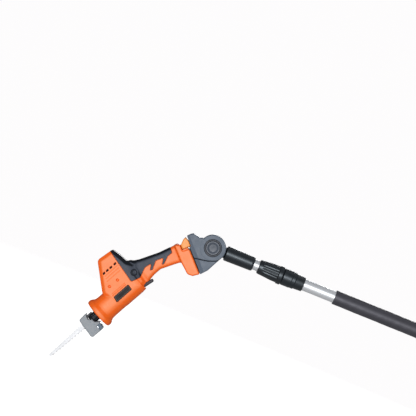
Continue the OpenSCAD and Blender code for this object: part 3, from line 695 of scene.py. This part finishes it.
# ---- Rear handle, pole frame ----
REAR = outline([[806, -19, 5], [862, -19, 6], [868, -15, 4], [905, -14, 6], [930, -20, 12], [975, -19, 12],
                [990, -37, 6], [1036, -37, 3], [1036, 37, 3], [1000, 37, 8], [975, 22, 16], [880, 20, 20],
                [806, 19, 5]])
REAR_ZONE = outline([[892, 30, 1], [880, 6, 1], [898, -4, 1], [894, -40, 1], [984, -30, 1], [968, 30, 1]])
REAR_NOSE = outline([[802, -5, 0.5], [802, 19.3, 2.5], [862, 19.5, 3], [862, -5, 0.5]])
REAR_SCREWS = [(826, 15.6), (872, 15.6), (940, -13), (1010, 27), (1010, -28)]


def rear_form(x, y, z):
    """Outer form of the rear handle."""
    flat = REAR(x, z)
    grip = smooth_max(thick(flat, y, 18, 9), x - 994, 2)
    foot = smooth_max(thick(flat, y, BATTERY_HALF, 5), 984 - x, 5)
    form = smooth_min(grip, foot, 6)
    return smooth_min(form, REAR_NOSE(x, np.hypot(y, z)), 4)


def rear_shell(side):
    """Field of one half of the rear handle."""
    def field(x, y, z):
        form = rear_form(x, y, z)
        shell = cut(form, form + WALL)
        shell = cut(shell, smooth_max(REAR_ZONE(x, z) - COVER_GAP, -(form + RECESS_DEPTH), 0.4))
        shell = cut(shell, rod(y, z, 12.55) + np.maximum(0, x - 870))
        shell = cut(shell, box(x, y, z, (866, -6.4, -45), (908, 6.4, 4), 1))
        shell = cut(shell, box(x, y, z, (896.6, -4.8, 14), (911.4, 4.8, 45), 0.6))
        shell = cut(shell, box(x, y, z, (1020, -18.3, -60), (1045, 18.3, 20), 0.5))
        shell = cut(shell, box(x, y, z, (1026, -22.3, -60), (1032.3, 22.3, 20), 0.5))
        shell = screw_wells(shell, x, y, z, REAR_SCREWS, 14)
        return halved(shell, side, y)
    return field


def rear_cover(x, y, z):
    """Field of the rear soft grip, with raised ribs across it."""
    form = rear_form(x, y, z)
    ribs = 0.35 * np.cos((x + 0.5 * z) * 2 * math.pi / 7) * np.clip((-REAR_ZONE(x, z) - 3) / 3, 0, 1)
    skin = smooth_max(form - COVER_PROUD - ribs, -(form + COVER_DEPTH), 0.4)
    skin = smooth_max(skin, REAR_ZONE(x, z) + COVER_GAP, 1.0)
    skin = cut(skin, box(x, y, z, (866, -6.4, -45), (908, 6.4, 4), 1))
    skin = cut(skin, box(x, y, z, (896.6, -4.8, 14), (911.4, 4.8, 45), 0.6))
    return screw_wells(skin, x, y, z, REAR_SCREWS, 10)


REAR_TRIGGER = outline([[870, -26, 3], [884, -29, 6], [903, -22, 5], [904, -9, 2], [884, -4, 3],
                        [870, -8, 3]])
BATTERY = outline([[1036.4, -37, 3], [1090, -40, 6], [1096, -34, 5], [1096, 36, 5], [1086, 43, 8],
                   [1036.4, 37, 3]])


def battery(x, y, z):
    """Field of the battery's case."""
    form = thick(BATTERY(x, z), y, BATTERY_HALF, 5)
    side = smooth_max(np.abs(np.abs(z - 1) - 14) - 1.1, np.abs(x - 1064) - 16, 1)
    form = cut(form, smooth_max(side, 30.2 - np.abs(y), 0.5), 0.8)
    form = cut(form, smooth_max(np.abs(np.abs(y) - 12) - 1.1, 1095 - x, 0.5) + 0 * z, 0.8)
    form = np.minimum(form, box(x, y, z, (1028, -18, -30.5), (1040, 18, 19), 0.8))
    form = np.minimum(form, box(x, y, z, (1028, -22, -30.5), (1032, 22, 19), 0.8))
    form = cut(form, box(x, y, z, (1041, -28, -34), (1090, 28, 33), 2))
    form = cut(form, box(x, y, z, (1020, -11, -11), (1042, 11, 60)))
    return cut(form, box(x, y, z, (1043, -16.3, 36.4), (1076, 16.3, 60), 0.6))


def battery_latch(x, y, z):
    """Field of the battery's release latch, with a finger dish."""
    form = box(x, y, z, (1046.8, -16, 36.7), (1075.4, 16, 42.6), 1.6)
    form = cut(form, np.sqrt((x - 1065) ** 2 / 1.2 + y ** 2 / 4 + (z - 46) ** 2) - 6.4, 1.5)
    return form


def lock_off(x, y, z):
    """Field of the lock-off button."""
    form = np.minimum(box(x, y, z, (897, -4.5, 14), (911, 4.5, 23.5), 1.4),
                      box(x, y, z, (894, -4.5, 12.2), (914, 4.5, 15.2), 0.6))
    for s in (-3.5, 0, 3.5):
        form = cut(form, np.hypot(x - 904 - s, z - 23.9) - 0.9 + 0 * y, 0.5)
    return form


def sculpt(name, field, low, high, step, to_row, material, body, slot, *nodes, marks=None):
    """A piece made from a field between two corners, settled on its body.
    marks gives the share of the finish's marked colour at each point. Without it, the share grows where
    the surface faces sideways along y: painted light on the side-facing flats."""
    pad = 2 * step
    points, faces = surface_net(field, [c - pad for c in low], [c + pad for c in high], step)
    h = 0.2
    slope = np.stack([field(*(points + o).T) - field(*(points - o).T) for o in np.eye(3) * h], 1)
    slope /= np.maximum(np.linalg.norm(slope, axis=1), 1e-9)[:, None]
    if to_row is head_to_row:
        faces = faces[:, ::-1]
    piece = mesh_piece(name, points, faces, to_row, material)
    tips = to_row(points + slope) - to_row(points)
    piece.data.normals_split_custom_set_from_vertices((tips / MM).tolist())
    # The default share follows how far each surface faces sideways along y: painted light on side-facing flats.
    share = marks(*points.T) if marks else np.clip((np.abs(slope[:, 1]) - 0.8) / 0.17, 0, 1)
    piece.data.attributes.new("marked_colour", "FLOAT", "POINT").data.foreach_set("value", share)
    return settle(piece, body, slot, *nodes)


# ---- The saw ----
for word, side in (("left", -1), ("right", 1)):
    wide = (-33.2, 0.2) if side < 0 else (-0.2, 33.2)
    sculpt(f"saw_shell_{word}", saw_shell(side), (41, wide[0], -27), (274.2, wide[1], 140.2), 0.85,
           head_to_row, FINISH["orange_shell"], "saw", "orange_shell", f"saw_housing_{word}")
    sculpt(f"saw_grip_{word}", grip_cover(side), (60, wide[0], 40), (177, wide[1], 140.4), 0.7,
           head_to_row, FINISH["soft_grip"], "saw", "soft_grip", f"grip_cover_{word}")
    sculpt(f"adapter_shell_{word}", adapter_half(side), (-30, wide[0], -46), (60, wide[1], 62), 0.7,
           head_to_row, FINISH["slate_plastic"], "adapter", "slate_plastic", f"adapter_{word}",
           marks=painted_step_shade)
sculpt("blank_plate_left", name_plate(-1), (182, -27, 46), (226, -24, 60), 0.4, head_to_row,
       PLATE_BLACK, "saw", "black_plastic", "name_plates", marks=plate_rim)
sculpt("blank_plate_right", name_plate(1), (182, 24, 46), (226, 27, 60), 0.4, head_to_row,
       PLATE_BLACK, "saw", "black_plastic", marks=plate_rim)
# Black plates behind the vents: painted shade for the shade inside them.
for word, side, low, high in (("left", -1, -22, -16), ("right", 1, 16, 22)):
    sculpt(f"vent_shade_plate_{word}", vent_shade_plate(side), (167, low, 102), (213, high, 118), 0.6, head_to_row,
           FINISH["black_plastic"], "saw", "black_plastic")
# Black sheet in the seam between adapter and foot: painted shade for the shadow in the gap.
sculpt("seam_shadow_sheet", seam_shade_sheet, (20, -31, -42), (52, 31, 40), 0.6, head_to_row, FINISH["black_plastic"],
       "adapter", "black_plastic")
sculpt("release_latch", latch, (30, -31, 30), (52, 31, 64), 0.7, head_to_row, FINISH["amber_plastic"],
       "saw_release", "amber_plastic", "adapter_latch")
sculpt("saw_trigger_lever", trigger, (135, -5.2, 27), (171, 5.2, 44), 0.5, head_to_row,
       TRIGGER_BLACK, "saw_trigger", "black_plastic", "saw_trigger")
sculpt("shoe_casting", shoe, (279, -15.2, 23), (315, 15.2, 73), 0.5, head_to_row, FINISH["shoe_grey"],
       "shoe", "shoe_grey", "shoe",
       marks=lambda x, y, z: np.clip(1.2 - PIVOT_BLOCK(x, z) / 0.5, 0, 1) * (np.abs(y) > 11.7))
sculpt("mouth_seal", seal, (253, -22.2, 31), (269, 22.2, 77), 0.6, head_to_row, FINISH["black_plastic"],
       "saw", "black_plastic", "rod_seal")
sculpt("clamp_ring", clamp, (275, -10.5, 43.5), (295, 10.5, 68.5), 0.4, head_to_row, FINISH["dark_metal"],
       "clamp_collar", "dark_metal", "blade_clamp")
sculpt("pole_knuckle_cast", knuckle, (-25, -17, -25), (93.5, 17, 25), 0.8, pole_to_row,
       FINISH["black_gloss"], "front_pole", "black_gloss", "pole_knuckle")

# ---- The rear handle ----
for word, side in (("left", -1), ("right", 1)):
    wide = (-31.2, 0.2) if side < 0 else (-0.2, 31.2)
    sculpt(f"rear_shell_{word}", rear_shell(side), (801, wide[0], -38), (1036.5, wide[1], 38), 1.2,
           pole_to_row, FINISH["orange_shell"], "rear_pole", "orange_shell", f"rear_housing_{word}")
sculpt("rear_soft_grip", rear_cover, (880, -19, -30), (985, 19, 30), 1.0, pole_to_row, FINISH["soft_grip"],
       "rear_pole", "soft_grip", "rear_grip_cover")
sculpt("rear_trigger_lever", lambda x, y, z: thick(REAR_TRIGGER(x, z), y, 6, 2.5), (869, -6.2, -30),
       (905, 6.2, -3), 0.5, pole_to_row, FINISH["black_plastic"], "rear_trigger", "black_plastic",
       "rear_trigger")
sculpt("lock_off_slider", lock_off, (893, -5, 12), (915, 5, 24), 0.4, pole_to_row, FINISH["amber_plastic"],
       "lock_off", "amber_plastic", "lock_off_button")
sculpt("battery_shell", battery, (1027, -31.2, -41), (1096.2, 31.2, 43.5), 1.1, pole_to_row,
       FINISH["black_plastic"], "battery", "black_plastic", "battery_case")
sculpt("battery_latch_pad", battery_latch, (1046, -16.5, 36), (1076, 16.5, 43), 0.5, pole_to_row,
       FINISH["amber_plastic"], "battery_release", "amber_plastic", "battery_latch")


# ---- Turned parts ----
def turned(name, profile, to_row, axis, material, body, slot, *nodes, around=96, shape=None):
    """A closed ring turned about an axis from [distance along, radius, corner radius] points."""
    line = rounded(profile)
    fine = []
    for a, b in zip(line, np.roll(line, -1, axis=0)):
        count = max(1, int(np.linalg.norm(b - a) / 4)) if shape else 1
        fine += [a + (b - a) * i / count for i in range(count)]
    line = np.array(fine)
    angles = np.arange(around) * 2 * math.pi / around
    along, radius = np.meshgrid(line[:, 0], angles, indexing="ij")[0], np.repeat(line[:, 1:], around, 1)
    angle = np.broadcast_to(angles, along.shape)
    if shape:
        radius = shape(along, radius, angle)
    u, w = radius * np.cos(angle), radius * np.sin(angle)
    stack = (along, u, w) if axis == "x" else (u, along, w)
    points = np.stack([c.ravel() for c in stack], 1)
    rows = len(line)
    faces = [(i * around + j, i * around + (j + 1) % around, (i + 1) % rows * around + (j + 1) % around,
              (i + 1) % rows * around + j) for i in range(rows) for j in range(around)]
    piece = outward(mesh_piece(name, points, faces, to_row, material))
    piece.data.set_sharp_from_angle(angle=math.radians(50))
    return settle(piece, body, slot, *nodes)


def fluted(along, radius, angle):
    """Nut's grip flutes, deeper in the middle of their length."""
    flutes, depth, neck = 16, 1.1, 15.5
    dent = np.clip(0.5 + 0.5 * np.cos(flutes * angle), 0, 1) ** 2
    reach = np.clip((along - 112) / 4, 0, 1) * np.clip((149 - along) / 3, 0, 1)
    return radius - depth * dent * reach * (radius > neck)


def foamed(along, radius, angle):
    """Foam's soft swell and waviness."""
    wave = 0.12 * np.sin(along * 0.09) * np.cos(2 * angle) + 0.08 * np.sin(along * 0.31 + 3 * angle)
    return np.minimum(radius + (wave - 0.2) * (radius > 13), 15.5)


turned("outer_tube_drawn", [[130, 11.3, 0.3], [130, 12.5, 0.6], [870, 12.5, 0.6], [870, 11.3, 0.3]],
       pole_to_row, "x", FINISH["bright_tube"], "rear_pole", "bright_tube", "outer_tube")
turned("inner_tube_drawn", [[36, 9.8, 0.3], [36, 11, 0.6], [800, 11, 0.6], [800, 9.8, 0.3]], pole_to_row,
       "x", FINISH["bright_tube"], "front_pole", "bright_tube", "inner_tube")
turned("collar_moulding", [[122, 11.7, 0.3], [122, 14.4, 0.5], [158.6, 14.4, 0.3], [158.9, 17.6, 0.5],
                           [160, 18.2, 0.8], [177.4, 18.2, 0.8], [179, 17.5, 0.6], [185.6, 17.6, 0.8],
                           [187, 16.2, 0.8], [204.8, 15.4, 0.9], [205.6, 13, 0.6], [205.6, 12.55, 0.2],
                           [130.4, 12.55, 0.2], [130.4, 11.7, 0.2]], pole_to_row, "x",
       FINISH["black_gloss"], "rear_pole", "black_gloss", "collar_body")
turned("lock_nut_fluted", [[103.5, 11.4, 0.3], [103.5, 13.6, 0.8], [105.5, 15.3, 1], [112, 15.9, 3],
                           [125, 17, 9], [135, 18, 9], [147.6, 18.1, 1], [149.2, 19.7, 0.8],
                           [156.4, 19.7, 1], [158, 18.2, 0.8], [158, 14.8, 0.3], [121, 14.8, 0.3],
                           [121, 13.8, 0.3], [107, 13.8, 0.3], [107, 11.4, 0.3]], pole_to_row, "x",
       FINISH["black_gloss"], "lock_ring", "black_gloss", "lock_nut", around=256, shape=fluted)
foam = turned("foam_sleeve", [[275, 12.52, 0.3], [275, 15.5, 1.8], [615, 15.5, 1.8], [615, 12.52, 0.3]],
              pole_to_row, "x", FINISH["foam"], "rear_pole", "foam", "foam_grip", around=128,
              shape=foamed)
turned("tilt_ring", [[-28.8, 15.1, 0.4], [-28.8, 18.1, 0.6], [-28.2, 18.5, 0.4], [-26.4, 18.5, 0.3],
                     [-26.4, 15.1, 0.3]], head_to_row, "y", FINISH["ring_navy"], "adapter",
       "ring_navy", "pivot_ring")
turned("tilt_button_cap", [[-27.4, 0.2, 0.1], [-27.7, 8, 4], [-29.3, 11.8, 2], [-29.4, 14.3, 0.8],
                           [-28, 14.8, 0.5], [-26.4, 14.8, 0.3], [-26.4, 5, 0.3], [0, 5, 0.3],
                           [0, 0.2, 0.1]], head_to_row, "y", FINISH["button_slate"],
       "tilt_button", "button_slate", "pivot_button")
turned("pivot_end_cap", [[28.5, 0.2, 0.1], [28.4, 10.5, 2], [28.8, 12.4, 0.6], [28.6, 14.6, 0.6],
                         [27.6, 15, 0.4], [25, 15, 0.3], [25, 0.2, 0.1]], head_to_row, "y",
       FINISH["ring_navy"], "adapter", "ring_navy", "pivot_cap")


# ---- Screws ----
def screws(name, places, head_y, shank_y, radius, to_row, body, node, frame_of=lambda x, z: (x, z),
           slot="dark_metal"):
    """Domed heads with a six-lobed recess on plain shanks, all in one piece."""
    points, faces = [], []
    around = 36
    out = -1 if head_y < shank_y else 1
    for sx, sz in places:
        cx, cz = frame_of(sx, sz)
        start = len(points)
        # Place along y, share of the head's radius, and whether the ring has lobes
        levels = [(head_y - out * 1.9, 0.02, 1), (head_y - out * 1.9, 0.36, 1),
                  (head_y - out * 0.25, 0.42, 1), (head_y, 0.6, 0), (head_y - out * 0.5, 0.96, 0),
                  (head_y - out * 0.9, 1.0, 0), (head_y - out * 2.3, 1.0, 0), (head_y - out * 2.3, 0.5, 0),
                  (shank_y, 0.5, 0), (shank_y, 0.02, 0)]
        for level, share, lobed in levels:
            for j in range(around):
                a = 2 * math.pi * j / around
                r = radius * share * (1 + (0.16 * math.cos(6 * a) if lobed else 0))
                points.append((cx + r * math.cos(a), level, cz + r * math.sin(a)))
        for i in range(len(levels) - 1):
            for j in range(around):
                k = start + i * around
                faces.append((k + j, k + (j + 1) % around, k + around + (j + 1) % around, k + around + j))
        faces.append(tuple(start + j for j in range(around)))
        faces.append(tuple(start + (len(levels) - 1) * around + j for j in range(around)))
    piece = outward(mesh_piece(name, np.array(points), faces, to_row, FINISH[slot]))
    piece.data.set_sharp_from_angle(angle=math.radians(35))
    return settle(piece, body, slot, node)


def from_foot(n, t):
    """Head frame x and z of a point given in foot axes."""
    c, s = math.cos(FOOT_TILT), math.sin(FOOT_TILT)
    return n * c - t * s, n * s + t * c


screws("housing_screw_set", SAW_SCREWS, 15.7, -13.5, 2.8, head_to_row, "saw", "housing_screws")
screws("frame_screw_set", FRAME_SCREWS, -24.4, -17, 2.6, head_to_row, "saw", "frame_screws",
       slot="orange_shell")
screws("adapter_screw_set", ADAPTER_SCREWS, 28.5, -23, 2.8, head_to_row, "adapter", "adapter_screws",
       from_foot)
screws("rear_screw_set", REAR_SCREWS, 16.2, -14, 2.8, pole_to_row, "rear_pole", "rear_screws")


# ---- Blade ----
def blade():
    """A pruning blade with set teeth and a ground upper edge."""
    tip, pitch, half = 407.5, 4.2, 0.65
    tang, heel, first, end = 281, 300, 304, tip - 4

    def low(p):
        return 48 + (p - 316) * 0.031

    edge = [(tang, 51.0, 0), (296, 51.0, 0), (heel, low(heel), 0)]
    count = int((end - first) / pitch)
    for i in range(count):
        p = first + i * pitch
        lean = 0.45 * (-1) ** i
        edge += [(p, low(p) + 2.2, 0), (p + pitch * 0.5, low(p), lean)]
    edge += [(end, low(end) + 2, 0), (tip, 54, 0), (tip - 1, 58.4, 0), (318, 60.8, 0), (heel, 61, 0),
             (296, 58, 0), (tang, 58, 0)]
    spine = len(edge) - 5
    points = []
    for s in (-1, 1):
        for i, (p, q, lean) in enumerate(edge):
            thin = 0.45 if i >= spine - 1 and p > heel else 1.0
            points.append((p, s * half * (0.55 if lean else thin) + lean, q))
    n = len(edge)
    for s in (-1, 1):
        for p, q, _ in edge:
            lowest = 53.0 if p < heel else low(p) + 3.0
            highest = 57.0 if p > heel else 56.0
            points.append((p, s * half, min(max(q, lowest), highest)))
    faces = []
    for side in (0, 1):
        for i in range(n):
            j = (i + 1) % n
            faces.append((side * n + i, side * n + j, (2 + side) * n + j, (2 + side) * n + i))
        top = [(2 + side) * n + i for i in range(n)]
        faces.append(tuple(top))
    for i in range(n):
        j = (i + 1) % n
        faces.append((i, j, n + j, n + i))
    return points, faces


points, faces = blade()
bm = bmesh.new()
verts = [bm.verts.new(tuple(p)) for p in head_to_row(np.array(points))]
for face in faces:
    try:
        bm.faces.new([verts[i] for i in face])
    except ValueError:
        pass
bmesh.ops.remove_doubles(bm, verts=bm.verts, dist=1e-6)
bmesh.ops.recalc_face_normals(bm, faces=bm.faces)
mesh = bpy.data.meshes.new("pruning_blade")
bm.to_mesh(mesh)
bm.free()
piece = placed("pruning_blade", mesh)
mesh.materials.append(FINISH["blade_steel"])
settle(piece, "plunger", "blade_steel", "saw_blade")

# ---- Finishes of the CAD nodes that stay ----
for entry in frame["record"]["subparts"]:
    node = frame["nodes"][entry["node"]]
    node.data.materials.clear()
    node.data.materials.append(FINISH[entry["material_slot"]])

# ---- Floor, light and camera ----
FLOOR_DROP = 0.012
FLOOR_GLOW = 0.75
FADE_FROM, FADE_TO = 0.9, 2.9
floor_z = cad_box[0][2] - FLOOR_DROP
sides, reach = 96, 3.2
ring = [(reach * math.cos(2 * math.pi * i / sides) + HUB[0], reach * math.sin(2 * math.pi * i / sides),
         floor_z)
        for i in range(sides)]
mesh = bpy.data.meshes.new("studio_floor")
mesh.from_pydata(ring, [], [tuple(range(sides))])
floor = placed("studio_floor", mesh)
paint = bpy.data.materials.new("pale_floor")
paint.use_nodes = True
tree = paint.node_tree
shader = tree.nodes["Principled BSDF"]
shader.inputs["Roughness"].default_value = 0.9
shader.inputs["Specular IOR Level"].default_value = 0.1
shader.inputs["Emission Color"].default_value = (1, 1, 1, 1)
seen = tree.nodes.new("ShaderNodeLightPath").outputs["Is Camera Ray"]
link(tree, ranged(tree, seen, 0, 1, 0.0, FLOOR_GLOW), shader.inputs["Emission Strength"])
length = tree.nodes.new("ShaderNodeVectorMath")
length.operation = "LENGTH"
coords = tree.nodes.new("ShaderNodeTexCoord").outputs["Object"]
offset = tree.nodes.new("ShaderNodeVectorMath")
offset.operation = "SUBTRACT"
offset.inputs[1].default_value = (HUB[0], 0, floor_z)
link(tree, coords, offset.inputs[0])
link(tree, offset.outputs["Vector"], length.inputs[0])
link(tree, ranged(tree, length.outputs["Value"], FADE_FROM, FADE_TO, 1, 0), shader.inputs["Alpha"])
cloudy = ranged(tree, noise_at(tree, coords, 3.0), 0.3, 0.7, 0, 1)
link(tree, mixed(tree, cloudy, (0.6, 0.595, 0.59), (0.62, 0.615, 0.61)), shader.inputs["Base Color"])
mesh.materials.append(paint)

world = bpy.data.worlds.new("studio")
bpy.context.scene.world = world
world.use_nodes = True
tree = world.node_tree
background = tree.nodes["Background"]
seen = tree.nodes.new("ShaderNodeBackground")
seen.inputs["Color"].default_value = (0.985, 0.975, 0.98, 1)
background.inputs["Color"].default_value = (0.95, 0.97, 1.0, 1)
background.inputs["Strength"].default_value = 0.22
mix = tree.nodes.new("ShaderNodeMixShader")
link(tree, tree.nodes.new("ShaderNodeLightPath").outputs["Is Camera Ray"], mix.inputs["Fac"])
link(tree, background.outputs["Background"], mix.inputs[1])
link(tree, seen.outputs["Background"], mix.inputs[2])
link(tree, mix.outputs["Shader"], tree.nodes["World Output"].inputs["Surface"])


def soft_light(name, place, aim, size, watts):
    """A large rectangular soft light pointed at a place."""
    data = bpy.data.lights.new(name, "AREA")
    data.shape = "RECTANGLE"
    data.size, data.size_y = size
    data.energy = watts
    lamp = placed(name, data)
    lamp.location = place
    lamp.rotation_euler = (Vector(aim) - Vector(place)).to_track_quat("-Z", "Y").to_euler()


CENTRE = (-0.4, 0, -0.05)
soft_light("key", (-0.7, -3.0, 0.14), CENTRE, (1.5, 0.8), 72)
soft_light("top", (0.5, 0.2, 2.6), CENTRE, (2.6, 1.2), 6)
soft_light("back", (0.2, 2.9, 1.0), CENTRE, (1.8, 1.2), 60)

ROLL = math.radians(22.1)
DISTANCE = 3.2
VIEW_WIDTH = 0.8736
VIEW_SHIFT = (-0.041, 0.0736)
data = bpy.data.cameras.new("camera")
data.sensor_width = 36
data.lens = data.sensor_width * DISTANCE / VIEW_WIDTH
camera = placed("camera", data)
right = Vector((math.cos(ROLL), 0, math.sin(ROLL)))
up = Vector((-math.sin(ROLL), 0, math.cos(ROLL)))
turn = Matrix((right, up, Vector((0, -1, 0)))).transposed().to_4x4()
camera.matrix_world = Matrix.Translation((HUB[0] + VIEW_SHIFT[0], -DISTANCE, VIEW_SHIFT[1])) @ turn
bpy.context.scene.camera = camera
bpy.context.scene.view_settings.view_transform = "Standard"
